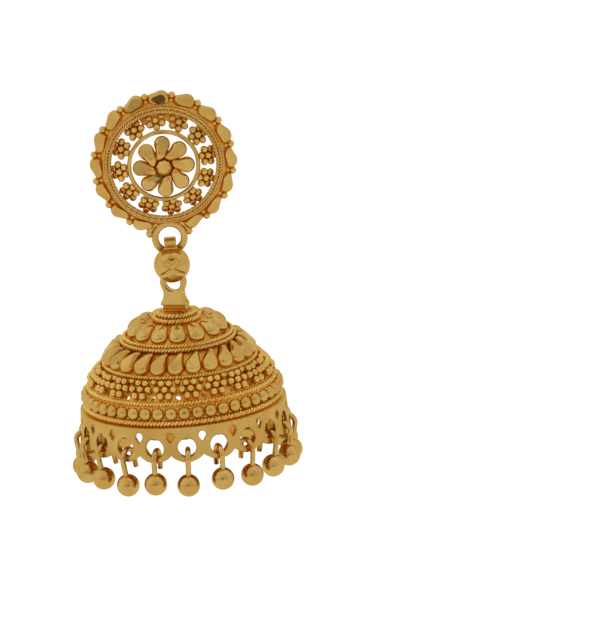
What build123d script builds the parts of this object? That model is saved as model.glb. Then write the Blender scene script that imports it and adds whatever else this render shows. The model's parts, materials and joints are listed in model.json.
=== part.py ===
"""Jhumka earring: a pierced stud, a swinging link and a bell with twenty dangles.

Millimetres. +Z is up, -Y is the front of the stud and +Y runs back through the ear.
The origin is the middle of the stud's back, where it sits on the ear lobe.
"""

from build123d import *
import math
import os

# Stud: faces the front, its heights measured forward from the lobe side
ROPE_OUTER = 7.15
ROPE_INNER = 6.3
ROPE_HEIGHT = 1.9
COLLAR_INNER = 5.85
COLLAR_HEIGHT = 1.0
FLANGE_RADIUS = 8.2
FLANGE_BACK = 0.3
FLANGE_FRONT = 1.0
LEAF_PLACES = 16
LEAF_RADIUS = 8.2
LEAF_LENGTH = 2.45
LEAF_WIDTH = 1.4
LEAF_TAIL_RADIUS = 0.22
LEAF_FRONT = 1.5
GRAIN_PLACE_RADIUS = 8.6
GRAIN_RADIUS = 0.38
GRAIN_HEIGHT = 0.65
GRAIN_NECK = 0.4

# The stud's middle is a shallow dome: a ball of this radius, seen to its crown
CROWN_RADIUS = 8.0
CROWN_HEIGHT = 3.7
CLUSTERS = 12
CLUSTER_PLACE_RADIUS = 5.42
CLUSTER_RADIUS = 1.08
CLUSTER_THICKNESS = 0.9
WIRE_RING_OUTER = 4.45
WIRE_RING_INNER = 3.85
WIRE_RING_BACK = 1.95
WIRE_RING_FRONT = 2.6
PETALS = 8
PETAL_WIDE_PLACE = 3.2
PETAL_WIDE_RADIUS = 0.85
PETAL_NARROW_PLACE = 1.0
PETAL_NARROW_RADIUS = 0.25
PETAL_THICKNESS = 0.7
HUB_RADIUS = 0.93
HUB_BACK = 2.6
HUB_FRONT = 3.95
HUB_BEVEL = 0.25

# Hidden post: a stem from just behind the hub to the lobe, then the pin through it
STEM_RADIUS = 0.65
STEM_CLEARANCE = 0.1
POST_RADIUS = 0.45
POST_LENGTH = 11.0
POST_TIP_BEVEL = 0.15

# Hanging ring soldered under the stud
HANGING_PLANE = -0.8
RING_CENTRE_Z = -9.43
RING_OUTER = 2.195
RING_INNER = 1.37
RING_DEPTH = 1.0
RING_ROUNDING = 0.25

# Link: two closed loops of strap behind a diamond-cut bead
STRAP_THICKNESS = 0.4
UPPER_LOOP_TOP_Z = -10.5
UPPER_LOOP_BOTTOM_Z = -11.6
UPPER_LOOP_BEND = 0.7
UPPER_LOOP_WIDTH = 1.45
LOWER_LOOP_TOP_Z = -13.2
LOWER_LOOP_BOTTOM_Z = -13.7
LOWER_LOOP_BEND = 0.75
LOWER_LOOP_WIDTH = 0.95
BEAD_RADIUS = 2.22
BEAD_CENTRE_Z = -12.5
BEAD_CENTRE_FORWARD = 1.5
BEAD_BACK_FORWARD = 1.05
BEAD_FACET_ANGLE = 30
BEAD_RELIEF_Z = -13.3
BEAD_RELIEF_ANGLE = 35

# Hanger plate, turned a little from the stud's plane as it hangs
PLATE_TURN = -20
PLATE_THICKNESS = 1.1
PLATE_BEVEL = 0.12
EYE_CENTRE_Z = -15.08
EYE_OUTER = 1.6
EYE_HOLE = 1.05
NECK_TOP_Z = -15.6
NECK_HALF_WIDTH = 1.5
WAIST_Z = -16.53
WAIST_HALF_WIDTH = 1.07
FOOT_TOP_Z = -17.35
FOOT_HALF_WIDTH = 1.58
FOOT_BOTTOM_Z = -19.0
FOOT_SLOT_TOP_Z = -17.98
FOOT_SLOT_BOTTOM_Z = -18.43
FOOT_SLOT_DEPTH = 0.3

# Bell: radius and height of the wall's outer line, tier by tier
WALL = 0.6
CAP_Z = -18.8
CAP_RADIUS = 2.2
NECK_RADIUS = 2.5
NECK_FOOT_Z = -19.7
SHOULDER_RADIUS = 4.75
SHOULDER_Z = -20.0
TIER_1_FOOT_RADIUS = 5.75
TIER_1_FOOT_Z = -21.5
TIER_2_TOP_RADIUS = 6.5
TIER_2_TOP_Z = -21.9
TIER_2_FOOT_RADIUS = 9.15
TIER_2_FOOT_Z = -24.6
TIER_3_TOP_RADIUS = 9.3
TIER_3_TOP_Z = -25.0
TIER_3_FOOT_RADIUS = 11.3
TIER_3_FOOT_Z = -27.3
TIER_4_RADIUS = 11.8
TIER_4_TOP_Z = -27.7
RIM_Z = -30.25

# Ropes round the bell: ring radius, height and thickness of each
ROPES = {
    "neck_upper": (2.3, -19.1, 0.24),
    "neck_lower": (2.4, -19.5, 0.24),
    "a": (6.45, -21.65, 0.3),
    "b": (9.25, -24.75, 0.32),
    "c": (11.3, -27.45, 0.32),
    "d": (11.9, -29.75, 0.34),
}

# Bosses and piercings of the tiers
TIER_1_BOSSES = 14
TIER_1_BOSS_RADIUS = 1.0
TIER_1_BOSS_PLACE = (4.85, -20.6)
TIER_2_DROPS = 25
TIER_2_DROP_RADIUS = 0.9
TIER_2_DROP_PLACE = (8.05, -23.8)
TIER_2_TAIL_BASE = 0.85
TIER_2_TAIL_TIP = 0.35
TIER_2_TAIL_LENGTH = 1.7
TIER_2_SLOPE = 44
TIER_3_PIERCINGS = 21
TIER_3_PIERCING_RADIUS = 0.4
TIER_3_PIERCING_PLACE = (10.85, -26.7)
TIER_3_SLOPE = 45
TIER_4_BOSSES = 46
TIER_4_BOSS_RADIUS = 0.7
TIER_4_BOSS_PLACE = (11.75, -28.55)

# Pierced band under the bell
DANGLES = 20
BAND_TOP_RADIUS = 12.65
BAND_TIP_Z = -34.45
BAND_TIP_RADIUS = 13.0
BAND_THICKNESS = 0.5
BAND_TIP_FLAT = 0.02
HOLE_Z = -32.63
HOLE_RADIUS = 1.16
NOTCH_Z = -33.55
TRIANGLE_TOP_Z = -30.8
TRIANGLE_TIP_Z = -32.0
TRIANGLE_HALF_WIDTH = 0.7

# Lip turned in under each hole, which a dangle hooks round
LIP_DEPTH = 0.85
LIP_THICKNESS = 0.5
LIP_CLEARANCE = 0.04
LIP_TOP_Z = -33.25

# Dangle: a ball on a wire hooked through a hole of the band
WIRE_RADIUS = 0.33
HOOK_BEND = 1.15
HOOK_TAIL_DROP = 1.7
BALL_RADIUS = 1.4
BALL_DROP = 2.92
BALL_DROP_SWAY = 0.22
HOOK_TILT = 11
HOOK_TILT_SWAY = 1.5
HOOK_LEAN_SWAY = -4.5
HOOK_SWAY_STEP = 137.5

# Cutters reach past what they cut; a row about the bell starts at its front
REACH = 40.0
THROUGH = 3.0
FRONT = -90.0

# Soldered pieces share this much metal
SOLDER = 0.1


def around(shape, count, start=0.0):
    """Copies of a shape, evenly spaced about the Z axis."""
    step = 360 / count
    return [Rot(Z=start + step * k) * shape for k in range(count)]


def hull_of_circles(wide_at, wide_radius, narrow_at, narrow_radius):
    """Teardrop outline along +Y from a narrow end to a wide one."""
    length = wide_at - narrow_at
    lean = math.asin((wide_radius - narrow_radius) / length)
    side_x, side_y = math.cos(lean), -math.sin(lean)
    outline = Polyline(
        (wide_radius * side_x, wide_at + wide_radius * side_y),
        (narrow_radius * side_x, narrow_at + narrow_radius * side_y),
        (-narrow_radius * side_x, narrow_at + narrow_radius * side_y),
        (-wide_radius * side_x, wide_at + wide_radius * side_y),
        close=True,
    )
    middle = make_face(outline)
    return middle + Pos(0, wide_at) * Circle(wide_radius) + Pos(0, narrow_at) * Circle(narrow_radius)


def layer(outline, back, front):
    """A flat outline given thickness between two depths of the stud."""
    return extrude(Pos(0, 0, back) * outline, front - back)


def annulus(outer, inner):
    """A flat ring."""
    return Circle(outer) - Circle(inner)


def leaf():
    """One leaf of the rim, laid along the rim with its wide end clockwise."""
    wide_radius = LEAF_WIDTH / 2
    wide_at = LEAF_LENGTH / 2 - wide_radius
    narrow_at = -LEAF_LENGTH / 2 + LEAF_TAIL_RADIUS
    outline = hull_of_circles(wide_at, wide_radius, narrow_at, LEAF_TAIL_RADIUS)
    body = layer(outline, FLANGE_BACK, LEAF_FRONT)
    return Pos(0, LEAF_RADIUS) * Rot(Z=-90) * body


def rim():
    """Flange with its leaves and grains; the lowest leaf's place is the ring's."""
    flange = layer(annulus(FLANGE_RADIUS, ROPE_OUTER - SOLDER), FLANGE_BACK, FLANGE_FRONT)
    places = around(leaf(), LEAF_PLACES)
    lowest = LEAF_PLACES // 2
    leaves = [place for k, place in enumerate(places) if k != lowest]
    grain = Pos(0, GRAIN_PLACE_RADIUS, GRAIN_HEIGHT) * Sphere(GRAIN_RADIUS)
    neck = Pos(0, FLANGE_RADIUS, GRAIN_HEIGHT) * Box(GRAIN_NECK, 2 * GRAIN_NECK, GRAIN_NECK)
    grains = around(grain + neck, LEAF_PLACES, 180 / LEAF_PLACES)
    return flange + leaves + grains


def on_crown(shape, place_radius, thickness):
    """A flat shape, drawn at its radius along +Y, laid on the stud's shallow dome."""
    slope = math.degrees(math.asin(place_radius / CROWN_RADIUS))
    height = CROWN_HEIGHT - CROWN_RADIUS * (1 - math.cos(math.radians(slope)))
    plate = Pos(0, -place_radius) * layer(shape, -thickness, 0)
    return Pos(0, place_radius, height) * Rot(X=-slope) * plate


def cluster():
    """One ring-shaped cluster of grains, as a plain disc tilted outward."""
    disc = Pos(0, CLUSTER_PLACE_RADIUS) * Circle(CLUSTER_RADIUS)
    return on_crown(disc, CLUSTER_PLACE_RADIUS, CLUSTER_THICKNESS)


def flower():
    """Eight petals between the wire ring and the faceted hub."""
    outline = hull_of_circles(PETAL_WIDE_PLACE, PETAL_WIDE_RADIUS, PETAL_NARROW_PLACE, PETAL_NARROW_RADIUS)
    middle = (PETAL_WIDE_PLACE + PETAL_NARROW_PLACE) / 2
    petals = around(on_crown(outline, middle, PETAL_THICKNESS), PETALS)
    hub = layer(Circle(HUB_RADIUS), HUB_BACK, HUB_FRONT)
    hub = chamfer(hub.faces().sort_by(Axis.Z)[-1].edges(), HUB_BEVEL)
    return hub + petals


def hanging_ring():
    """The ring under the stud, standing in the stud's plane."""
    band = layer(annulus(RING_OUTER, RING_INNER), -RING_DEPTH / 2, RING_DEPTH / 2)
    band = fillet(band.edges().filter_by(GeomType.CIRCLE), RING_ROUNDING)
    return Pos(0, RING_CENTRE_Z, -HANGING_PLANE) * band


def rosette():
    """The whole stud, soldered in one: drawn flat, then stood up to face the front."""
    rope = layer(annulus(ROPE_OUTER, ROPE_INNER), 0, ROPE_HEIGHT)
    collar = layer(annulus(ROPE_OUTER, COLLAR_INNER), 0, COLLAR_HEIGHT)
    wire_ring = layer(annulus(WIRE_RING_OUTER, WIRE_RING_INNER), WIRE_RING_BACK, WIRE_RING_FRONT)
    crown = flower() + wire_ring + around(cluster(), CLUSTERS)
    return Rot(X=90) * (rim() + rope + collar + crown + hanging_ring())


def ear_post():
    """Plain post: a thicker stem inside the stud and a slim pin through the lobe."""
    upright = (Align.CENTER, Align.CENTER, Align.MIN)
    pin = Cylinder(POST_RADIUS, POST_LENGTH, align=upright)
    pin = chamfer(pin.faces().sort_by(Axis.Z)[-1].edges(), POST_TIP_BEVEL)
    stem_length = HUB_BACK - STEM_CLEARANCE
    stem = Pos(0, 0, -stem_length) * Cylinder(STEM_RADIUS, stem_length, align=upright)
    return Rot(X=-90) * (pin + stem)


def strap_loop(top_z, bottom_z, bend, width):
    """A closed loop of strap standing front to back, with round bends."""
    height = top_z - bottom_z
    middle = (top_z + bottom_z) / 2
    outer = Rot(Z=90) * SlotCenterToCenter(height, 2 * (bend + STRAP_THICKNESS))
    inner = Rot(Z=90) * SlotCenterToCenter(height, 2 * bend)
    outline = Plane.YZ * (Pos(0, middle) * (outer - inner))
    return extrude(outline, width / 2, both=True)


def bead():
    """Ball with four flat facets that meet in front, cut flat behind and relieved below."""
    ball = Sphere(BEAD_RADIUS)
    cutter = Box(REACH, REACH, REACH, align=(Align.CENTER, Align.MAX, Align.CENTER))
    facet = BEAD_RADIUS * math.cos(math.radians(BEAD_FACET_ANGLE))
    for turn in range(4):
        ball -= Rot(Y=90 * turn) * Rot(X=BEAD_FACET_ANGLE) * Pos(0, -facet, 0) * cutter
    ball = Pos(0, -BEAD_CENTRE_FORWARD, BEAD_CENTRE_Z) * ball
    back = Box(REACH, REACH, REACH, align=(Align.CENTER, Align.MIN, Align.CENTER))
    ball -= Pos(0, -BEAD_BACK_FORWARD, 0) * back
    relief = Box(REACH, REACH, REACH, align=(Align.CENTER, Align.MIN, Align.MAX))
    return ball - Pos(0, -BEAD_BACK_FORWARD, BEAD_RELIEF_Z) * Rot(X=-BEAD_RELIEF_ANGLE) * relief


def link():
    """Bead with the loop that rides on the ring and the one that carries the bell."""
    upper = strap_loop(UPPER_LOOP_TOP_Z, UPPER_LOOP_BOTTOM_Z, UPPER_LOOP_BEND, UPPER_LOOP_WIDTH)
    lower = strap_loop(LOWER_LOOP_TOP_Z, LOWER_LOOP_BOTTOM_Z, LOWER_LOOP_BEND, LOWER_LOOP_WIDTH)
    whole = upper + Rot(Z=PLATE_TURN) * lower + bead()
    return Pos(0, HANGING_PLANE, 0) * whole


def hanger():
    """Plate with the eye, standing on the bell's cap."""
    outline = make_face(
        Polyline(
            (-NECK_HALF_WIDTH, NECK_TOP_Z),
            (-WAIST_HALF_WIDTH, WAIST_Z),
            (-FOOT_HALF_WIDTH, FOOT_TOP_Z),
            (-FOOT_HALF_WIDTH, FOOT_BOTTOM_Z),
            (FOOT_HALF_WIDTH, FOOT_BOTTOM_Z),
            (FOOT_HALF_WIDTH, FOOT_TOP_Z),
            (WAIST_HALF_WIDTH, WAIST_Z),
            (NECK_HALF_WIDTH, NECK_TOP_Z),
            close=True,
        )
    )
    outline = outline + Pos(0, EYE_CENTRE_Z) * Circle(EYE_OUTER) - Pos(0, EYE_CENTRE_Z) * Circle(EYE_HOLE)
    plate = extrude(Plane.XZ * outline, PLATE_THICKNESS / 2, both=True)
    flats = plate.faces().filter_by(Axis.Y)
    plate = chamfer(flats.edges(), PLATE_BEVEL)
    slot_height = FOOT_SLOT_TOP_Z - FOOT_SLOT_BOTTOM_Z
    slot = Box(REACH, 2 * FOOT_SLOT_DEPTH, slot_height, align=(Align.CENTER, Align.CENTER, Align.MIN))
    plate -= Pos(0, -PLATE_THICKNESS / 2, FOOT_SLOT_BOTTOM_Z) * slot
    return Rot(Z=PLATE_TURN) * plate


def turned(section):
    """A flat section of radius and height, turned about the bell's axis."""
    return revolve(Plane.XZ * section, Axis.Z)


def bell_outside():
    """Solid inside the wall's outer line, with a ridge where each rope lies."""
    cap = Polyline((0, RIM_Z), (0, CAP_Z), (CAP_RADIUS, CAP_Z), (NECK_RADIUS, NECK_FOOT_Z))
    shoulder = ThreePointArc(
        (NECK_RADIUS, NECK_FOOT_Z), (SHOULDER_RADIUS, SHOULDER_Z), (TIER_1_FOOT_RADIUS, TIER_1_FOOT_Z)
    )
    tiers = Polyline(
        (TIER_1_FOOT_RADIUS, TIER_1_FOOT_Z),
        (TIER_2_TOP_RADIUS, TIER_2_TOP_Z),
        (TIER_2_FOOT_RADIUS, TIER_2_FOOT_Z),
        (TIER_3_TOP_RADIUS, TIER_3_TOP_Z),
        (TIER_3_FOOT_RADIUS, TIER_3_FOOT_Z),
        (TIER_4_RADIUS, TIER_4_TOP_Z),
        (TIER_4_RADIUS, RIM_Z),
        (0, RIM_Z),
    )
    section = make_face(cap + shoulder + tiers)
    for radius, height, thickness in ROPES.values():
        section += Pos(radius, height) * Circle(thickness)
    return turned(section)


def bell_hollow():
    """The bell's inside, open below."""
    sloped = WALL / math.sqrt(2)
    below = RIM_Z - WALL
    outline = Polyline(
        (0, below),
        (TIER_4_RADIUS - WALL, below),
        (TIER_4_RADIUS - WALL, TIER_4_TOP_Z),
        (TIER_3_TOP_RADIUS - sloped, TIER_3_TOP_Z - sloped),
        (TIER_2_TOP_RADIUS - sloped, TIER_2_TOP_Z - sloped),
        (TIER_1_FOOT_RADIUS - WALL, TIER_1_FOOT_Z - sloped),
        (SHOULDER_RADIUS - sloped, SHOULDER_Z - sloped),
        (NECK_RADIUS, NECK_FOOT_Z - WALL),
        (0, NECK_FOOT_Z - WALL),
        close=True,
    )
    return turned(make_face(outline))


def teardrop():
    """One teardrop of the second tier, its tail up the slope."""
    upright = (Align.CENTER, Align.CENTER, Align.MIN)
    tail = Cone(TIER_2_TAIL_BASE, TIER_2_TAIL_TIP, TIER_2_TAIL_LENGTH, align=upright)
    radius, height = TIER_2_DROP_PLACE
    return Pos(radius, 0, height) * Rot(Y=-TIER_2_SLOPE) * (Sphere(TIER_2_DROP_RADIUS) + tail)


def ball_boss(place, radius):
    """A round boss, centred at a radius and a height."""
    return Pos(place[0], 0, place[1]) * Sphere(radius)


def piercing():
    """One see-through hole between the grains of the third tier."""
    radius, height = TIER_3_PIERCING_PLACE
    return Pos(radius, 0, height) * Rot(Y=TIER_3_SLOPE) * Cylinder(TIER_3_PIERCING_RADIUS, THROUGH)


def dome():
    """Bell wall with its three rows of bosses and its row of piercings."""
    bosses = around(ball_boss(TIER_1_BOSS_PLACE, TIER_1_BOSS_RADIUS), TIER_1_BOSSES, FRONT)
    bosses += around(teardrop(), TIER_2_DROPS, FRONT)
    bosses += around(ball_boss(TIER_4_BOSS_PLACE, TIER_4_BOSS_RADIUS), TIER_4_BOSSES, FRONT)
    wall = bell_outside() + bosses - bell_hollow()
    return wall - around(piercing(), TIER_3_PIERCINGS, FRONT)


def band_blank():
    """The band before piercing, flaring towards its tips, with the rim flange above."""
    outline = Polyline(
        (TIER_4_RADIUS - WALL, RIM_Z),
        (TIER_4_RADIUS - WALL, RIM_Z + WALL / 2),
        (BAND_TOP_RADIUS, RIM_Z + WALL / 2),
        (BAND_TIP_RADIUS, BAND_TIP_Z + BAND_TIP_FLAT),
        (BAND_TIP_RADIUS - BAND_THICKNESS, BAND_TIP_Z + BAND_TIP_FLAT),
        (BAND_TOP_RADIUS - BAND_THICKNESS, RIM_Z),
        close=True,
    )
    return turned(make_face(outline))


def radial_cutter(outline):
    """A flat outline, drawn as seen from outside, cut through the front of the band."""
    return extrude(Plane.XZ.offset(BAND_TOP_RADIUS - THROUGH) * outline, 2 * THROUGH)


def notch():
    """The pointed gap between two scallops."""
    half_pitch = math.pi * BAND_TIP_RADIUS / DANGLES
    rise = NOTCH_Z - BAND_TIP_Z
    bend = (half_pitch**2 + rise**2) / (2 * rise)
    middle = math.radians(90) - math.atan2(half_pitch, bend - rise) / 2
    halfway_x = half_pitch - bend * math.cos(middle)
    halfway_z = BAND_TIP_Z + bend - bend * math.sin(middle)
    below = BAND_TIP_Z - rise
    right = ThreePointArc((0, NOTCH_Z), (halfway_x, halfway_z), (half_pitch, BAND_TIP_Z))
    left = ThreePointArc((-half_pitch, BAND_TIP_Z), (-halfway_x, halfway_z), (0, NOTCH_Z))
    low_right, low_left = (half_pitch, below), (-half_pitch, below)
    base = Polyline((half_pitch, BAND_TIP_Z), low_right, low_left, (-half_pitch, BAND_TIP_Z))
    return make_face(right + base + left)


def triangle():
    """The small triangular piercing above each notch."""
    return make_face(
        Polyline(
            (-TRIANGLE_HALF_WIDTH, TRIANGLE_TOP_Z),
            (TRIANGLE_HALF_WIDTH, TRIANGLE_TOP_Z),
            (0, TRIANGLE_TIP_Z),
            close=True,
        )
    )


def lip():
    """The lip under the front hole, running inward from the middle of the band."""
    outer = Circle(HOLE_RADIUS + LIP_CLEARANCE + LIP_THICKNESS)
    ring = Pos(0, HOLE_Z) * (outer - Circle(HOLE_RADIUS + LIP_CLEARANCE))
    below = Pos(0, LIP_TOP_Z - THROUGH) * Rectangle(2 * THROUGH, 2 * THROUGH)
    inner_radius = BAND_TIP_RADIUS - BAND_THICKNESS - LIP_DEPTH
    depth = LIP_DEPTH + BAND_THICKNESS / 2
    return extrude(Plane.XZ.offset(inner_radius) * (ring & below), depth)


def band():
    """Pierced, scalloped band with one round hole for each dangle."""
    half_step = 180 / DANGLES
    cutters = around(radial_cutter(Pos(0, HOLE_Z) * Circle(HOLE_RADIUS)), DANGLES)
    cutters += around(radial_cutter(notch()), DANGLES, half_step)
    cutters += around(radial_cutter(triangle()), DANGLES, half_step)
    return band_blank() - cutters + around(lip(), DANGLES)


def bell():
    """Hanger, dome and band, soldered in one."""
    return Pos(0, HANGING_PLANE, 0) * (dome() + band() + hanger())


def dangle(number):
    """A ball on its wire hook, hanging at its own small angle."""
    limb_z = (BAND_TIP_Z + HOLE_Z - HOLE_RADIUS) / 2
    sway = math.radians(HOOK_SWAY_STEP * number)
    drop = BALL_DROP + BALL_DROP_SWAY * math.sin(sway)
    route = Polyline((0, -HOOK_BEND, -drop), (0, -HOOK_BEND, 0))
    route += ThreePointArc((0, -HOOK_BEND, 0), (0, 0, HOOK_BEND), (0, HOOK_BEND, 0))
    route += Polyline((0, HOOK_BEND, 0), (0, HOOK_BEND, -HOOK_TAIL_DROP))
    start = Plane(origin=(0, -HOOK_BEND, -drop), z_dir=(0, 0, 1))
    wire = sweep(start * Circle(WIRE_RADIUS), path=route)
    ball = Pos(0, -HOOK_BEND, -drop) * Sphere(BALL_RADIUS)
    tilt = HOOK_TILT + HOOK_TILT_SWAY * math.sin(sway)
    lean = HOOK_LEAN_SWAY * math.cos(sway)
    hung = Rot(Y=lean) * Rot(X=tilt) * (wire + ball)
    limb_radius = BAND_TIP_RADIUS - (BAND_THICKNESS + LIP_DEPTH) / 2
    place = Rot(Z=(number - 1) * 360 / DANGLES) * Pos(0, -limb_radius, limb_z)
    return Pos(0, HANGING_PLANE, 0) * place * hung


def main():
    """Writes one file for each piece."""
    pieces = {"rosette": rosette(), "ear_post": ear_post(), "link": link(), "bell": bell()}
    for number in range(1, DANGLES + 1):
        pieces[f"dangle_{number:02d}"] = dangle(number)
    os.makedirs("parts", exist_ok=True)
    for name, piece in pieces.items():
        export_step(piece, f"parts/{name}.step")


main()
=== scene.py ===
"""Jhumka earring: a pierced stud, a swinging bead link and a granulated bell with dangles.

Sizes are in millimetres and become metres when a mesh is made. The stud is drawn flat,
with its front up, and then stood up; the bell's ornaments are drawn at its front and
repeated about its axis.
"""

import json
import logging
import math
from collections.abc import Callable, Iterable, Sequence
from dataclasses import dataclass, field, replace
from enum import Enum
from typing import Any

import bmesh
import bpy
import numpy as np
from mathutils import Matrix, Vector
from mathutils.geometry import tessellate_polygon


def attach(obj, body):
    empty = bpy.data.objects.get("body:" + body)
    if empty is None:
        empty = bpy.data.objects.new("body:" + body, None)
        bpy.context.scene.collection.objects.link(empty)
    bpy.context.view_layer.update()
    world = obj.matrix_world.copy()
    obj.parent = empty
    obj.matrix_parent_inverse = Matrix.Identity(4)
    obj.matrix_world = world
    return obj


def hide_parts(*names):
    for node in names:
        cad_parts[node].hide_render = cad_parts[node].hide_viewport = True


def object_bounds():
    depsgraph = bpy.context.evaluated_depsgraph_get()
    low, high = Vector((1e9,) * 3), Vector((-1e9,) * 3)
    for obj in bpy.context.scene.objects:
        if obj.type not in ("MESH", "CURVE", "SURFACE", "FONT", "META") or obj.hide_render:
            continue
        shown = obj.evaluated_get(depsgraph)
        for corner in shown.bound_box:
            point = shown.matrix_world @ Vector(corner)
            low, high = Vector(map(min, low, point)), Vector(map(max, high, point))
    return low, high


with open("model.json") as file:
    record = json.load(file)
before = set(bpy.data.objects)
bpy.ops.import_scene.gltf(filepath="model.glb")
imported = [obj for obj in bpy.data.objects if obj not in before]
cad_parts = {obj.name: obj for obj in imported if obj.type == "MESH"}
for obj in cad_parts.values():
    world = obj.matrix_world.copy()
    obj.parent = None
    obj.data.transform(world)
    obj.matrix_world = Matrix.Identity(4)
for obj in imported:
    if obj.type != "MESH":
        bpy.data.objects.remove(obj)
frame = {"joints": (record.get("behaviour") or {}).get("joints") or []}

MILLIMETRE = 0.001
ON_PLANE = 1e-5  # millimetres from a cut at which a corner counts as lying on it
WELD = 1e-7  # metres between corners that become one
POLE = 0.09  # radians from a ball's pole to its first ring
DOME = math.radians(86)  # how far a dome's section turns from its edge to its top
CREASE = math.radians(30)  # edges sharper than this stay crisp
CAD_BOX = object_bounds()
Colour = tuple[float, float, float, float]
Spot = tuple[float, float, float]
Facet = tuple[Spot, Spot]  # a point on it and the way that it faces
Sizes = tuple[float, ...]
Section = Sequence[tuple[float, float]]
log = logging.getLogger("jhumka")


class Body(Enum):
    """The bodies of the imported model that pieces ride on."""

    STUD = "stud"
    LINK = "link"
    DROP = "drop"


def anchor(joint: str) -> Vector:
    """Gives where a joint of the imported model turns, in millimetres."""
    found = next(one for one in frame["joints"] if one["name"] == joint)
    return Vector(found["pos_m"]) / MILLIMETRE


def move(x: float = 0.0, y: float = 0.0, z: float = 0.0) -> Matrix:
    """Gives a shift in millimetres."""
    return Matrix.Translation((x, y, z))


def turn(degrees: float, axis: str = "Z") -> Matrix:
    """Gives a turn about one of the axes."""
    return Matrix.Rotation(math.radians(degrees), 4, axis)


def even(count: int, start: float = 0.0) -> list[float]:
    """Gives evenly spaced angles in degrees, the first of them at the start."""
    return [start + 360 * k / count for k in range(count)]


def hung(joint: str) -> Matrix:
    """Gives the shift that brings a shape drawn about the Z axis under a joint."""
    return move(0, anchor(joint).y, 0)


STANDING = turn(90, "X")


# ---- outlines


def arc(radius: float, start: float, end: float, steps: int) -> np.ndarray:
    """Draws an arc about the origin between two angles in radians, a row for each point."""
    angles = np.linspace(start, end, steps)
    return radius * np.column_stack([np.cos(angles), np.sin(angles)])


def circle(radius: float, steps: int = 32) -> np.ndarray:
    """Draws a circle, counterclockwise."""
    return arc(radius, 0, math.tau, steps + 1)[:-1]


def teardrop(length: float, width: float, tail: float, bend: float = 0.0) -> np.ndarray:
    """Draws a teardrop with its wide end down and its tail up, counterclockwise.

    Args:
        length: from end to end.
        width: across the wide end.
        tail: radius of the narrow end.
        bend: how far the tail curls to the right.

    Returns:
        Its points about the middle of its length.
    """
    wide = width / 2
    low, high = wide - length / 2, length / 2 - tail
    lean = math.asin((wide - tail) / (high - low))
    under = arc(wide, math.pi - lean, math.tau + lean, 26) + (0, low)
    over = arc(tail, lean, math.pi - lean, 9) + (0, high)
    shares = np.linspace(0, 1, 8)[1:-1, None]
    right = under[-1] + shares * (over[0] - under[-1])
    left = over[-1] + shares * (under[0] - over[-1])
    points = np.vstack([under, right, over, left])
    reach = np.clip((points[:, 1] - low) / (high - low), 0, None)
    points[:, 0] += bend * reach**2
    return points


def slot_outline(height: float, radius: float) -> np.ndarray:
    """Draws an upright slot, counterclockwise, the centres of its round ends a height apart."""
    top = arc(radius, 0, math.pi, 20) + (0, height / 2)
    return np.vstack([top, -top])


def lifted(outline: np.ndarray, height: float) -> np.ndarray:
    """Lifts a flat outline to a height."""
    return np.column_stack([outline, np.full(len(outline), height)])


# ---- shapes


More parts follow.
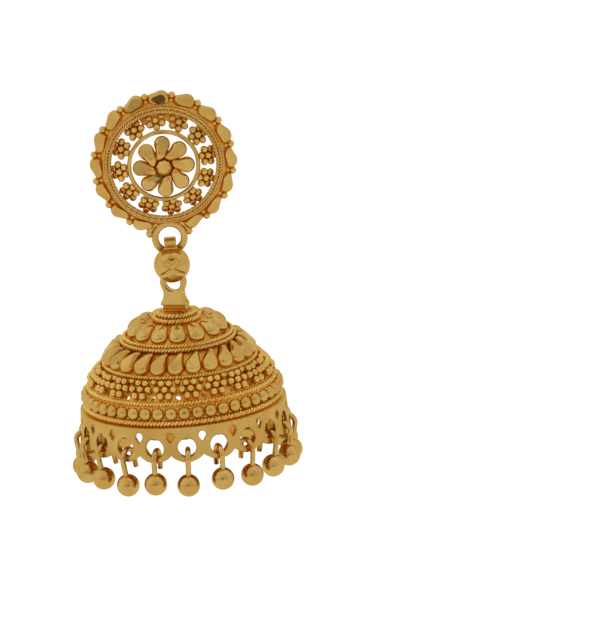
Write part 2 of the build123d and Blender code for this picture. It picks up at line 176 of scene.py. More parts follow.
@dataclass
class Shape:
    """Corners in millimetres and the faces between them."""

    corners: np.ndarray
    faces: list[tuple[int, ...]]

    @staticmethod
    def joined(shapes: Iterable["Shape"]) -> "Shape":
        """Puts several shapes in one.

        Args:
            shapes: the shapes.

        Returns:
            One shape with all their faces.
        """
        corners, faces, start = [], [], 0
        for shape in shapes:
            corners.append(shape.corners)
            faces += [tuple(start + i for i in face) for face in shape.faces]
            start += len(shape.corners)
        return Shape(np.vstack(corners), faces)

    def placed(self, place: Matrix) -> "Shape":
        """Gives a copy moved by a matrix."""
        grid = np.array(place)
        return Shape(self.corners @ grid[:3, :3].T + grid[:3, 3], self.faces)

    def around(self, count: int, start: float = 0.0) -> "Shape":
        """Gives copies evenly spaced about the Z axis."""
        return Shape.joined(self.placed(turn(angle)) for angle in even(count, start))

    def bent(self, law: Callable[[np.ndarray], np.ndarray]) -> "Shape":
        """Gives a copy whose corners have gone through a function."""
        return Shape(law(self.corners), self.faces)

    def sawn(self, planes: Iterable[tuple[Spot, Spot, bool, bool]], closed: bool) -> "Shape":
        """Saws through a shape along planes, one after another.

        Args:
            planes: of each, a point on it, the way that it faces, and whether what lies
                behind it and what lies in front of it are taken away.
            closed: whether each cut is closed with a face.

        Returns:
            What is left.
        """
        mesh = bmesh.new()
        spots = [mesh.verts.new(corner) for corner in self.corners]
        for face in self.faces:
            mesh.faces.new([spots[i] for i in face])
        for point, facing, behind, before in planes:
            every = [*mesh.verts, *mesh.edges, *mesh.faces]
            made = bmesh.ops.bisect_plane(
                mesh, geom=every, plane_co=point, plane_no=facing, dist=ON_PLANE,
                clear_inner=behind, clear_outer=before,
            )
            edges = [part for part in made["geom_cut"] if isinstance(part, bmesh.types.BMEdge)]
            if closed and edges:
                bmesh.ops.holes_fill(mesh, edges=edges)
        mesh.verts.index_update()
        corners = np.array([vert.co[:] for vert in mesh.verts])
        faces = [tuple(vert.index for vert in face.verts) for face in mesh.faces]
        mesh.free()
        return Shape(corners, faces)

    def cut(self, point: Spot, facing: Spot) -> "Shape":
        """Cuts a flat facet at a point of a closed shape, facing one way."""
        return self.sawn([(point, facing, False, True)], closed=True)

    def sliced(self, places: np.ndarray) -> "Shape":
        """Divides a shape by planes across X and keeps what lies between the outer two."""
        first, last = places[0], places[-1]
        planes = [((x, 0, 0), (1, 0, 0), x == first, x == last) for x in places]
        return self.sawn(planes, closed=False)

    def mesh(self, name: str) -> bpy.types.Mesh:
        """Makes the mesh in metres, with its faces outward.

        Args:
            name: the mesh's name.

        Returns:
            The mesh.
        """
        made = bpy.data.meshes.new(name)
        made.from_pydata((self.corners * MILLIMETRE).tolist(), [], self.faces)
        cleaned = bmesh.new()
        cleaned.from_mesh(made)
        bmesh.ops.remove_doubles(cleaned, verts=cleaned.verts, dist=WELD)
        bmesh.ops.recalc_face_normals(cleaned, faces=cleaned.faces)
        cleaned.to_mesh(made)
        cleaned.free()
        return made


def added(name: str, data: bpy.types.ID) -> bpy.types.Object:
    """Puts a new object in the scene."""
    made = bpy.data.objects.new(name, data)
    bpy.context.scene.collection.objects.link(made)
    return made


def lofted(rings: Sequence[np.ndarray], loop: bool = False) -> Shape:
    """Joins closed rings of points, one after another.

    Args:
        rings: rows of points, all with the same count.
        loop: whether the last ring is joined to the first; if not, both ends are closed.

    Returns:
        The skin over the rings.
    """
    count, steps = len(rings), len(rings[0])
    faces = []
    for k in range(count if loop else count - 1):
        here, there = k * steps, (k + 1) % count * steps
        for i in range(steps):
            j = (i + 1) % steps
            faces.append((here + i, here + j, there + j, there + i))
    if not loop:
        faces.append(tuple(reversed(range(steps))))
        faces.append(tuple(range((count - 1) * steps, count * steps)))
    return Shape(np.vstack(rings), faces)


def turned(section: Section, steps: int) -> Shape:
    """Turns a closed section about the Z axis.

    Args:
        section: radius and height of each of its points.
        steps: how many times it is repeated round the axis.

    Returns:
        The turned shape.
    """
    radii, heights = np.array(section).T
    rings = []
    for angle in np.linspace(0, math.tau, steps, endpoint=False):
        rings.append(np.column_stack([radii * math.cos(angle), radii * math.sin(angle), heights]))
    return lofted(rings, loop=True)


def stacked(section: Section, steps: int) -> Shape:
    """Stacks circles, each of a radius at a height, in one closed shape."""
    return lofted([lifted(circle(radius, steps), height) for radius, height in section])


def ball(radius: float, around: int = 14, along: int = 9) -> Shape:
    """Makes a ball with so many faces round the Z axis and so many rings along it."""
    angles = np.linspace(POLE, math.pi - POLE, along)
    return stacked([(radius * math.sin(a), -radius * math.cos(a)) for a in angles], around)


def swept(
    path: np.ndarray, side: np.ndarray | Spot, radius: float, sides: int, loop: bool = False
) -> Shape:
    """Sweeps a round wire along a path.

    Args:
        path: the points of its middle line.
        side: a direction across the path, one for all its points or one for each.
        radius: of the wire.
        sides: faces round the wire.
        loop: whether the path is closed.

    Returns:
        The wire.
    """
    if loop:
        along = np.roll(path, -1, 0) - np.roll(path, 1, 0)
    else:
        along = np.gradient(path, axis=0)
    along /= np.linalg.norm(along, axis=1, keepdims=True)
    out = side - along * np.sum(side * along, axis=1, keepdims=True)
    out /= np.linalg.norm(out, axis=1, keepdims=True)
    over = np.cross(along, out)
    ring = circle(1.0, sides)
    rings = []
    for middle, outward, upward in zip(path, out, over):
        rings.append(middle + radius * (ring[:, :1] * outward + ring[:, 1:] * upward))
    return lofted(rings, loop=loop)


def wire_ring(radius: float, height: float, wire: float) -> Shape:
    """Makes a ring of plain round wire about the Z axis."""
    return swept(lifted(circle(radius, 120), height), (0, 0, 1), wire, 10, loop=True)


def rope_ring(
    radius: float, height: float, thick: float, stroke: float, bite: float = 0.5
) -> Shape:
    """Makes a ring of two wires twisted together about the Z axis.

    Args:
        radius: of the ring.
        height: of the ring along Z.
        thick: radius of the whole rope.
        stroke: how far apart the twisted strokes lie.
        bite: how deep the furrow between the wires is, as a share of the rope's radius.

    Returns:
        The rope.
    """
    twists = round(math.tau * radius / (2 * stroke))
    steps = twists * 9
    angles = np.linspace(0, math.tau, steps, endpoint=False)
    out = lifted(circle(1.0, steps), 0.0)
    strands = []
    for phase in (0.0, math.pi):
        winding = twists * angles + phase
        side = out * np.cos(winding)[:, None] + np.outer(np.sin(winding), (0, 0, 1))
        middle = out * radius + (0, 0, height)
        strands.append(swept(middle + side * thick * bite, side, thick * (1 - bite), 8, loop=True))
    return Shape.joined(strands)


@dataclass(frozen=True)
class Ornament:
    """One kind of ornament: a dome over an outline, whose top and one side may be cut flat.

    The dome's edge is at height 0, and a skirt goes down under it. A top that is cut faces
    up, leans a little towards X and Y, and may sway at random about that.
    """

    outline: np.ndarray
    rise: float
    skirt: float
    rings: int = 9
    top: float | None = None
    lean: Sizes = (0.0, 0.0)
    sway: float = 0.0
    side: Facet | None = None

    def shape(self, dice: np.random.Generator | None = None, roll: float = 0.0) -> Shape:
        """Raises and cuts one ornament.

        Args:
            dice: draws its sway, if it sways.
            roll: how much more its top leans towards Y.

        Returns:
            The closed ornament.
        """
        middle = self.outline.mean(axis=0)
        levels = [lifted(self.outline, -self.skirt)]
        for angle in np.linspace(0, DOME, self.rings):
            ring = middle + (self.outline - middle) * math.cos(angle)
            levels.append(lifted(ring, self.rise * math.sin(angle)))
        made = lofted(levels)
        if self.top is not None:
            x, y = dice.uniform(-self.sway, self.sway, 2) if dice else (0.0, 0.0)
            made = made.cut((0, 0, self.top), (self.lean[0] + x, self.lean[1] + y + roll, 1.0))
        return made.cut(*self.side) if self.side else made


def plate(outlines: Sequence[np.ndarray], thick: float, bevel: float) -> Shape:
    """Cuts a flat plate with bevelled edges.

    Args:
        outlines: its edge, counterclockwise, and then its holes, clockwise.
        thick: of the plate.
        bevel: across its edges.

    Returns:
        The plate about height 0, facing up.
    """
    corners: list[np.ndarray] = []
    faces: list[tuple[int, ...]] = []
    loops: list[list[Vector]] = []
    upper: list[int] = []
    lower: list[int] = []
    start = 0
    for outline in outlines:
        count = len(outline)
        along = np.roll(outline, -1, 0) - np.roll(outline, 1, 0)
        along /= np.linalg.norm(along, axis=1, keepdims=True)
        small = outline + bevel * np.column_stack([-along[:, 1], along[:, 0]])
        corners += [lifted(small, thick / 2), lifted(outline, thick / 2 - bevel)]
        corners += [lifted(outline, bevel - thick / 2), lifted(small, -thick / 2)]
        for k in range(3):
            here, there = start + k * count, start + (k + 1) * count
            for i in range(count):
                j = (i + 1) % count
                faces.append((here + i, there + i, there + j, here + j))
        loops.append([Vector((x, y, 0)) for x, y in small])
        upper += range(start, start + count)
        lower += range(start + 3 * count, start + 4 * count)
        start += 4 * count
    for triangle in tessellate_polygon(loops):
        faces.append(tuple(upper[i] for i in triangle))
        faces.append(tuple(lower[i] for i in reversed(triangle)))
    return Shape(np.vstack(corners), faces)


def slab(left: float, right: float, low: float, high: float, thick: float, bevel: float) -> Shape:
    """Cuts a rectangular plate."""
    outline = np.array([(left, low), (right, low), (right, high), (left, high)])
    return plate([outline], thick, bevel)


# ---- finishes


class Signal:
    """A value on its way through a material's nodes, used in ordinary sums."""

    def __init__(self, board: "Board", socket: bpy.types.NodeSocket | None) -> None:
        """Keeps the board and the socket that the value comes from."""
        self.board = board
        self.socket = socket

    def _sum(self, operation: str, first: Any, second: Any) -> "Signal":
        """Adds one Math node."""
        return self.board.node("ShaderNodeMath", {"operation": operation}, {0: first, 1: second})

    def __add__(self, other: Any) -> "Signal":
        """Adds."""
        return self._sum("ADD", self, other)

    __radd__ = __add__

    def __sub__(self, other: Any) -> "Signal":
        """Takes away."""
        return self._sum("SUBTRACT", self, other)

    def __rsub__(self, other: Any) -> "Signal":
        """Takes this away from a number."""
        return self._sum("SUBTRACT", other, self)

    def __mul__(self, other: Any) -> "Signal":
        """Multiplies."""
        return self._sum("MULTIPLY", self, other)

    __rmul__ = __mul__

    def between(self, low: float, high: float) -> "Signal":
        """Rises smoothly from 0 at one value to 1 at another."""
        return self.board.node(
            "ShaderNodeMapRange",
            {"interpolation_type": "SMOOTHSTEP"},
            {"Value": self, "From Min": low, "From Max": high},
        )


class Board:
    """The nodes of one material or of the surroundings."""

    def __init__(self, owner: bpy.types.Material | bpy.types.World) -> None:
        """Takes over the nodes of a material or a world and clears them."""
        owner.use_nodes = True
        self.tree = owner.node_tree
        self.tree.nodes.clear()

    def node(
        self, kind: str, settings: dict[str, Any], sockets: dict[Any, Any], output: Any = 0
    ) -> Signal:
        """Adds one node.

        Args:
            kind: the node's type.
            settings: what is set on it first.
            sockets: the value or the link of each of its inputs.
            output: which of its outputs is wanted.

        Returns:
            That output.
        """
        made = self.tree.nodes.new(kind)
        for name, value in settings.items():
            setattr(made, name, value)
        for name, value in sockets.items():
            if isinstance(value, Signal):
                self.tree.links.new(value.socket, made.inputs[name])
            else:
                made.inputs[name].default_value = value
        return Signal(self, made.outputs[output] if made.outputs else None)

    def place(self, system: str) -> Signal:
        """Gives the place on a piece, or the way into the surroundings."""
        return self.node("ShaderNodeTexCoord", {}, {}, system)

    def blend(self, amount: Signal, low: Any, high: Any) -> Signal:
        """Mixes two colours."""
        return self.node(
            "ShaderNodeMix", {"data_type": "RGBA"}, {"Factor": amount, 6: low, 7: high}, 2
        )

    def noise(self, place: Signal, scale: float, detail: float) -> Signal:
        """Gives cloudy noise."""
        return self.node(
            "ShaderNodeTexNoise", {}, {"Vector": place, "Scale": scale, "Detail": detail}
        )

    def patches(self, place: Signal, size: float, detail: float = 3.0) -> Signal:
        """Gives cloudy noise whose patches are about a size across, in millimetres."""
        return self.noise(place, 1 / (size * MILLIMETRE), detail)

    def seen(self) -> Signal:
        """Gives 1 where the camera looks straight at something and 0 in its reflections."""
        return self.node("ShaderNodeLightPath", {}, {}, "Is Camera Ray")

    def surface(self, sockets: dict[str, Any]) -> None:
        """Ends a material in a principled shader with these inputs."""
        shader = self.node("ShaderNodeBsdfPrincipled", {}, sockets)
        self.node("ShaderNodeOutputMaterial", {}, {"Surface": shader})


@dataclass(frozen=True)
class GoldPlate:
    """Gold plate: how smooth and how wavy it is, its colours, and the shade painted in its hollows.

    The spread is how much its roughness varies, the grain is its finest relief, and the edge
    is its colour at a grazing angle. The painted hollow shade, a redder orange that stands in for
    shade and for gold reflecting gold, lies where walls close in within the reach.
    """

    name: str
    roughness: float = 0.17
    spread: float = 0.10
    waviness: float = 0.15
    grain: float = 0.05
    bright: Colour = (0.655, 0.42, 0.118, 1.0)
    deep: Colour = (0.60, 0.35, 0.08, 1.0)
    edge: Colour = (0.93, 0.82, 0.56, 1.0)
    # Painted shade: the colour that hollows are painted in, standing in for shade and gold
    # reflecting gold, then how strongly it is mixed in and how much rougher it makes the surface
    painted_hollow_shade: Colour = (0.92, 0.40, 0.02, 1.0)
    painted_hollow_shade_strength: float = 0.75
    painted_hollow_shade_roughness: float = 0.15
    reach: float = 0.7
    closed: Sizes = (0.3, 0.85)

    def material(self) -> bpy.types.Material:
        """Makes the material.

        Returns:
            The material, ready to assign.
        """
        made = bpy.data.materials.new(self.name)
        board = Board(made)
        place = board.place("Object")
        cloud = board.patches(place, size=3.5)
        film = board.patches(place, size=0.9, detail=5.0)
        fine = board.patches(place, size=0.12, detail=2.0)
        around = {"Distance": self.reach * MILLIMETRE}
        openness = board.node("ShaderNodeAmbientOcclusion", {"samples": 4}, around, "AO")
        hollow = (1 - openness).between(*self.closed)
        # Painted shade: the redder orange is mixed in, in patches, where the occlusion finds walls
        # close by
        painted_hollow_shade = hollow * film.between(0.15, 0.5) * self.painted_hollow_shade_strength
        tone = board.blend(cloud.between(0.35, 0.65), self.bright, self.deep)
        wear = self.spread * film.between(0.35, 0.7)
        height = cloud * self.waviness + film * (self.waviness * 0.35) + fine * self.grain
        relief = {"Strength": 1.0, "Distance": 0.1 * MILLIMETRE, "Height": height}
        board.surface(
            {
                "Base Color": board.blend(painted_hollow_shade, tone, self.painted_hollow_shade),
                "Metallic": 1.0,
                "Roughness": self.roughness + wear + painted_hollow_shade * self.painted_hollow_shade_roughness,
                "Specular Tint": self.edge,
                "Normal": board.node("ShaderNodeBump", {}, relief),
            }
        )
        return made


class Surface(Enum):
    """The gold finishes that the pieces are dressed in; the rope, grain and recess ones are lighter
    or darker copies of the gold that paint light and shade.
    """

    CUT = GoldPlate("gold_diamond_cut", roughness=0.10, spread=0.08, waviness=0.10, grain=0.015)
    CAST = GoldPlate("gold_cast", roughness=0.24, spread=0.12, waviness=0.35, grain=0.10)
    WIRE = GoldPlate("gold_wire")
    # Lighter copy of the gold, a painted lift in light for the bell's ropes, with the painted
    # hollow shade reaching further into the furrows between strands
    ROPE = GoldPlate(
        "gold_rope",
        bright=(0.80, 0.54, 0.16, 1.0),
        deep=(0.74, 0.47, 0.11, 1.0),
        reach=0.3,
        closed=(0.25, 0.62),
    )
    # Lighter copy of the gold: painted light that lifts the grains sunk between walls, with a
    # shorter reach for the painted hollow shade
    GRAIN = GoldPlate(
        "gold_grain",
        roughness=0.18,
        bright=(0.74, 0.49, 0.14, 1.0),
        deep=(0.70, 0.43, 0.10, 1.0),
        reach=0.4,
    )
    # Darker, redder copy of the gold: painted shade and reflected gold glow for walls and parts
    # that sit in recesses
    SHADED_RECESS = GoldPlate(
        "gold_recess_painted_shade",
        roughness=0.30,
        spread=0.12,
        waviness=0.30,
        grain=0.10,
        bright=(0.72, 0.34, 0.045, 1.0),
        deep=(0.60, 0.25, 0.028, 1.0),
    )
    SATIN = GoldPlate("gold_satin", roughness=0.20, waviness=0.22, grain=0.06)
    POLISHED = GoldPlate("gold_polished", roughness=0.11, spread=0.08, waviness=0.22, grain=0.04)


class Dresser:
    """Makes finished pieces and puts them on their bodies."""

    def __init__(self) -> None:
        """Makes each finish once."""
        self.finishes = {surface: surface.value.material() for surface in Surface}

    def piece(
        self, name: str, shape: Shape, surface: Surface, body: Body, nodes: Sequence[str]
    ) -> None:
        """Makes one piece.

        Args:
            name: its plain name.
            shape: its shape, in place.
            surface: its finish.
            body: the body that it rides on.
            nodes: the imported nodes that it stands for.
        """
        mesh = shape.mesh(name)
        mesh.polygons.foreach_set("use_smooth", [True] * len(mesh.polygons))
        mesh.set_sharp_from_angle(angle=CREASE)
        mesh.materials.append(self.finishes[surface])
        made = added(name, mesh)
        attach(made, body.value)
        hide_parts(*nodes)
        triangles = sum(len(face.vertices) - 2 for face in mesh.polygons)
        log.info("%s: %d triangles, rides %s", name, triangles, body.value)

    def pieces(
        self, parts: dict[str, tuple[Shape, Surface]], body: Body, node: str, place: Matrix
    ) -> None:
        """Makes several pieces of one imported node, all moved to the same place on a body."""
        for name, (shape, surface) in parts.items():
            self.piece(name, shape.placed(place), surface, body, [node])


# ---- stud


@dataclass
class Stud:
    """The pierced round stud with its rim of leaves and its hanging ring."""

    flange: Section = (
        (6.9, 0.3), (7.95, 0.3), (8.1, 0.45), (8.05, 0.6), (7.7, 1.15), (7.3, 1.48), (6.9, 1.6),
    )
    wall: Section = ((7.0, 0.0), (7.2, 0.0), (7.2, 1.5), (6.5, 1.72), (6.5, 1.5))
    ropes: tuple[Sizes, ...] = ((7.0, 1.72, 0.25, 0.4, 0.4), (6.6, 1.86, 0.25, 0.4, 0.4))
    wires: tuple[Sizes, ...] = ((7.3, 1.52, 0.16), (4.2, 2.3, 0.27))
    leaf_places: int = 16
    leaf_place: Sizes = (7.96, 0.85)
    leaf_turn: float = 9.0
    leaf: Ornament = Ornament(
        teardrop(2.72, 1.95, 0.48, 0.1), rise=1.0, skirt=0.5, top=0.68, lean=(0.1, 0.0),
        sway=0.08, side=((-0.52, 0, 0.42), (-1.0, 0.0, 0.75)),
    )
    top_leaf: Ornament = replace(leaf, top=0.52)
    top_leaf_inner: Ornament = Ornament(
        leaf.outline * 0.78, rise=1.0, skirt=0.3, top=0.68, lean=(0.277, 0.0)
    )
    crown_radius: float = 8.0
    crown_height: float = 3.7
    sunk: float = 0.3
    clusters: int = 12
    cluster_place: float = 5.56
    cluster_turn: float = 6.0
    cluster_twist: float = 17.0
    cluster_lean: float = 0.55
    cluster_reach: float = 0.88
    cluster_grain: float = 0.46
    cluster_top: float = 0.37
    cluster_disc: Section = ((0.0, -0.5), (0.86, -0.5), (0.86, -0.16), (0.0, -0.16))
    rim_grain: float = 0.45
    rim_grain_place: Sizes = (8.5, 0.8)
    low_grain_place: Sizes = (2.42, -8.84)
    small_grain: float = 0.33
    small_grain_place: Spot = (0.0, 7.85, 0.85)
    stem: tuple[Spot, Spot] = ((0.0, 7.7, 0.55), (0.0, 8.5, 0.65))
    stem_radius: float = 0.26
    petals: int = 8
    petal_place: float = 2.46
    petal: Ornament = Ornament(
        -teardrop(2.98, 1.98, 0.6, 0.25), rise=0.72, skirt=0.3, top=0.5, lean=(0.16, 0.0),
        sway=0.06, side=((-0.82, 0, 0.25), (-1.0, 0.0, 0.62)),
    )
    petal_disc: Section = ((0.0, 2.45), (1.5, 2.4), (1.5, 2.75), (0.0, 2.9))
    steep_petal: int = 7
    steep_roll: float = 0.12
    nicked_petal: int = 5
    nick: Facet = ((0.2, -0.4, 0.47), (0.183, -0.471, 0.863))
    hub: Section = ((0.97, 2.6), (1.0, 3.1), (0.93, 3.62), (0.62, 3.95))
    web_reach: float = 24.0
    web_wave: float = 0.12
    web_waves: int = 36
    ring_outer: float = 2.195
    ring_inner: float = 1.37
    ring_depth: float = 1.0
    ring_edge: float = 0.24
    shoulder: Section = (
        (1.2, 1.9), (1.75, 1.28), (2.1, 0.75), (2.5, 0.5), (2.75, 1.1), (2.4, 1.9),
    )
    shoulder_thick: float = 0.7
    shoulder_edge: float = 0.12

    def on_crown(self, radius: float, angle: float, leaning: float = 1.0) -> Matrix:
        """Gives a place on the stud's shallow dome.

        Args:
            radius: from the stud's middle.
            angle: clockwise from the top, in degrees.
            leaning: how far it leans with the dome, from 0 to 1.

        Returns:
            The place, its Y axis outward and its Z axis out of the dome.
        """
        slope = math.asin(radius / self.crown_radius)
        height = self.crown_height - self.crown_radius * (1 - math.cos(slope))
        lean = turn(-math.degrees(slope) * leaning, "X")
        return turn(-angle) @ move(0, radius, height) @ lean

    def leaves(self) -> Shape:
        """Cuts the rim's leaves; the lowest place is left for the ring.

        Returns:
            The leaves, drawn flat.
        """
        dice = np.random.default_rng(seed=11)
        made = []
        for k, angle in enumerate(even(self.leaf_places)):
            spot = turn(-angle) @ move(0, *self.leaf_place)
            if k == 0:
                shape = Shape.joined([self.top_leaf.shape(dice), self.top_leaf_inner.shape()])
                made.append(shape.placed(spot @ turn(90)))
            elif k != self.leaf_places // 2:
                made.append(self.leaf.shape(dice).placed(spot @ turn(90 + self.leaf_turn)))
        return Shape.joined(made)

    def flowerets(self) -> Shape:
        """Sets the clusters of seven grains on their discs.

        Returns:
            The clusters, drawn flat.
        """
        grain = ball(self.cluster_grain, 16, 11).cut((0, 0, self.cluster_top), (0, 0, 1))
        out = move(0, self.cluster_reach, 0.0)
        cluster = [grain.placed(move(0, 0, 0.1))]
        cluster += [grain.placed(turn(60 * k) @ out) for k in range(6)]
        cluster.append(turned(self.cluster_disc, 24))
        sunk = Shape.joined(cluster).placed(move(0, 0, -self.sunk))
        made = []
        for k, angle in enumerate(even(self.clusters, -self.cluster_turn)):
            spot = self.on_crown(self.cluster_place, angle, self.cluster_lean)
            made.append(sunk.placed(spot @ turn(self.cluster_twist * k)))
        return Shape.joined(made)

    def rim_grains(self) -> Shape:
        """Sets a large and a small grain between the leaves, and beside the hanging ring.

        Returns:
            The grains, drawn flat.
        """
        large = ball(self.rim_grain, 16, 11)
        small = ball(self.small_grain).placed(move(*self.small_grain_place))
        stem = swept(np.array(self.stem), (1, 0, 0), self.stem_radius, 8)
        seat = Shape.joined([small, stem])
        out, up = self.rim_grain_place
        across, down = self.low_grain_place
        half = 180 / self.leaf_places
        made = []
        for k in range(self.leaf_places):
            angle = half * (2 * k + 1)
            spot = turn(-angle) @ move(0, out, up)
            if abs(angle - 180) < 1.5 * half:
                spot = move(math.copysign(across, 180 - angle), down, up)
            made += [large.placed(spot), seat.placed(turn(-angle))]
        return Shape.joined(made)

    def flower(self) -> Shape:
        """Cuts the eight petals and the hub.

        Returns:
            The flower, drawn flat.
        """
        dice = np.random.default_rng(seed=5)
        made = []
        for k, angle in enumerate(even(self.petals)):
            shape = self.petal.shape(dice, self.steep_roll if k == self.steep_petal else 0.0)
            if k == self.nicked_petal:
                shape = shape.cut(*self.nick)
            spot = self.on_crown(self.petal_place, angle) @ move(0, 0, -self.sunk)
            made.append(shape.placed(spot))
        return Shape.joined([*made, stacked(self.hub, 16), turned(self.petal_disc, 40)])

    def web(self) -> Shape:
        """Fills the gaps between the top clusters with solder.

        Returns:
            The web, drawn flat.
        """
        levels = []
        for angle in np.radians(np.linspace(90 - self.web_reach, 90 + self.web_reach, 25)):
            wave = self.web_wave * math.sin(angle * self.web_waves)
            section = [(5.2 + wave, 1.0), (6.75, 0.6), (6.75, 0.95), (5.25 + wave, 1.35)]
            level = [(r * math.cos(angle), r * math.sin(angle), z) for r, z in section]
            levels.append(np.array(level))
        return lofted(levels)

    def ring(self) -> Shape:
        """Makes the hanging ring and the shoulders that join it to the rim, already standing.

        Returns:
            The ring.
        """
        edge, flat = self.ring_edge, self.ring_depth / 2 - self.ring_edge
        corner = arc(edge, 0, math.pi / 2, 5)
        ends = ((self.ring_outer, 1, 1), (self.ring_inner, -1, 1))
        ends += ((self.ring_inner, -1, -1), (self.ring_outer, 1, -1))
        section = []
        for radius, out, up in ends:
            quarter = corner * (out, up) + (radius - out * edge, up * flat)
            section += quarter[:: out * up].tolist()
        right = np.array(self.shoulder)
        made = [turned(section, 56)]
        for side in (right, right[::-1] * (-1, 1)):
            made.append(plate([side], self.shoulder_thick, self.shoulder_edge))
        return Shape.joined(made).placed(move(*anchor("link_swing")) @ STANDING)

    def build(self, dresser: Dresser) -> None:
        """Makes and dresses the stud's pieces."""
        rim = [turned(self.flange, 128), turned(self.wall, 128), self.web()]
        ropes = Shape.joined(rope_ring(*rope) for rope in self.ropes)
        wires = Shape.joined(wire_ring(*wire) for wire in self.wires)
        grains = Shape.joined([self.flowerets(), self.rim_grains()])
        parts = {
            "stud_leaves": (self.leaves(), Surface.CUT),
            # The rim wears the shaded recess finish: painted shade between the leaves and clusters
            "stud_rim": (Shape.joined(rim), Surface.SHADED_RECESS),
            "stud_ropes": (ropes, Surface.WIRE),
            "stud_wires": (wires, Surface.WIRE),
            "stud_grains": (grains, Surface.GRAIN),
            "stud_flower": (self.flower(), Surface.CUT),
        }
        dresser.pieces(parts, Body.STUD, "rosette", STANDING)
        dresser.piece("stud_hanging_ring", self.ring(), Surface.SATIN, Body.STUD, ["rosette"])


@dataclass
class EarPost:
    """The plain post behind the stud."""

    stem: float = 0.62
    pin: float = 0.45
    back: float = 2.5
    length: float = 11.0
    groove: float = 0.07
    point: float = 0.12

    def build(self, dresser: Dresser) -> None:
        """Makes and dresses the post, with the shallow groove that holds the nut."""
        pin, waist, end = self.pin, self.pin - self.groove, self.length
        section = [(0.0, -self.back), (self.stem, -self.back), (self.stem, -0.05), (pin, 0.0)]
        section += [(pin, end - 2.6), (waist, end - 2.4), (waist, end - 1.9), (pin, end - 1.7)]
        section += [(pin, end - 0.25), (pin - self.point, end - 0.05), (0.0, end)]
        post = turned(section, 32).placed(turn(-90, "X"))
        dresser.piece("ear_post_pin", post, Surface.WIRE, Body.STUD, ["ear_post"])


# ---- link


@dataclass
class Link:
    """The bead with the strap loop that rides on the ring and the one that carries the bell."""

    strap: float = 0.4
    strap_edge: float = 0.09
    upper: Sizes = (-10.5, -11.6, 0.7, 1.45)
    lower: Sizes = (-13.2, -13.7, 0.75, 0.95)
    hang_turn: float = -20.0
    bead_radius: float = 2.22
    bead_forward: float = 1.5
    bead_height: float = -12.5
    bead_back: float = 1.05
    facet_slopes: Sizes = (0.4, 0.28)
    groove_depth: float = 0.2
    groove_width: float = 0.19
    groove_reach: float = 0.85
    groove_fade: float = 0.25
    nick_depth: float = 0.36
    nick_height: float = 0.52
    nick_curve: float = 1.8
    nick_width: float = 0.045
    nick_reach: float = 0.19
    nick_fade: float = 0.05
    relief_angle: float = 35.0
    relief_height: float = -13.3
    seam: Sizes = (-0.42, 0.42, -10.28, -10.17, 0.1, 0.02)
    seam_forward: float = 1.05

    def loop(self, top: float, bottom: float, bend: float, width: float) -> Shape:
        """Bends one closed loop of strap.

        Args:
            top: height of its upper bend's centre.
            bottom: height of its lower bend's centre.
            bend: radius inside its bends.
            width: of the strap.

        Returns:
            The loop about the drop's axis.
        """
        outer = slot_outline(top - bottom, bend + self.strap)
        inner = slot_outline(top - bottom, bend)[::-1]
        flat = plate([outer, inner], width, self.strap_edge)
        side_on = Matrix(((0, 0, 1, 0), (1, 0, 0, 0), (0, 1, 0, 0), (0, 0, 0, 1)))
        return flat.placed(move(0, 0, (top + bottom) / 2) @ side_on)

    def crossed(self, corners: np.ndarray) -> np.ndarray:
        """Flattens a ball's front into four facets, with grooves between them and a curved nick.

        Args:
            corners: the ball's corners.

        Returns:
            The corners of the faceted ball.
        """
        way = corners / np.linalg.norm(corners, axis=1, keepdims=True)
        front = way[:, 1] < 0
        across, up = np.abs(way[:, 0]), np.abs(way[:, 2])
        steep, shallow = self.facet_slopes
        reach = np.maximum(-way[:, 1] + np.maximum(up * steep, across * shallow), 1.0)
        lean = math.atan2(shallow, steep)
        off = np.abs(up * math.cos(lean) - across * math.sin(lean)) * self.bead_radius
        within = np.clip((self.groove_reach - np.hypot(across, up)) / self.groove_fade, 0, 1)
        groove = self.groove_depth * np.exp(-((off / self.groove_width) ** 2)) * within * front
        rise = way[:, 2] - self.nick_height - self.nick_curve * across**2
        within = np.clip((self.nick_reach - across) / self.nick_fade, 0, 1)
        nick = self.nick_depth * np.exp(-((rise / self.nick_width) ** 2)) * within * front
        return way * (self.bead_radius / reach - (groove + nick))[:, None]

    def bead(self) -> Shape:
        """Makes the bead, flat behind and cut away where the ring passes.

        Returns:
            The bead about the drop's axis.
        """
        shape = ball(self.bead_radius, 120, 90).placed(turn(90, "X")).bent(self.crossed)
        back = self.bead_forward - self.bead_back
        angle = math.radians(self.relief_angle)
        relief = (0, math.cos(angle), -math.sin(angle))
        shape = shape.cut((0, back, 0), (0, 1, 0))
        shape = shape.cut((0, back, self.relief_height - self.bead_height), relief)
        return shape.placed(move(0, -self.bead_forward, self.bead_height))

    def build(self, dresser: Dresser) -> None:
        """Makes and dresses the link's pieces."""
        home = hung("link_swing")
        upper = self.loop(*self.upper).placed(home)
        lower = self.loop(*self.lower).placed(home @ turn(self.hang_turn))
        seam = slab(*self.seam).placed(home @ move(0, -self.seam_forward, 0) @ STANDING)
        parts = {
            "link_straps": (Shape.joined([upper, lower]), Surface.SATIN),
            "link_bead": (self.bead().placed(home), Surface.CUT),
            # The seam is a thin strip in the shaded recess finish, so its darker, redder colour is
            # painted shade
            "link_seam": (seam, Surface.SHADED_RECESS),
        }
        dresser.pieces(parts, Body.LINK, "link", move())


# ---- bell


def on_wall(radius: float, height: float, slope: float, side: float = 0.0) -> Matrix:
    """Gives a place on the bell's wall, Z out of it, with its slope and side in degrees."""
    return turn(side) @ move(0, -radius, height) @ turn(90 - slope, "X")


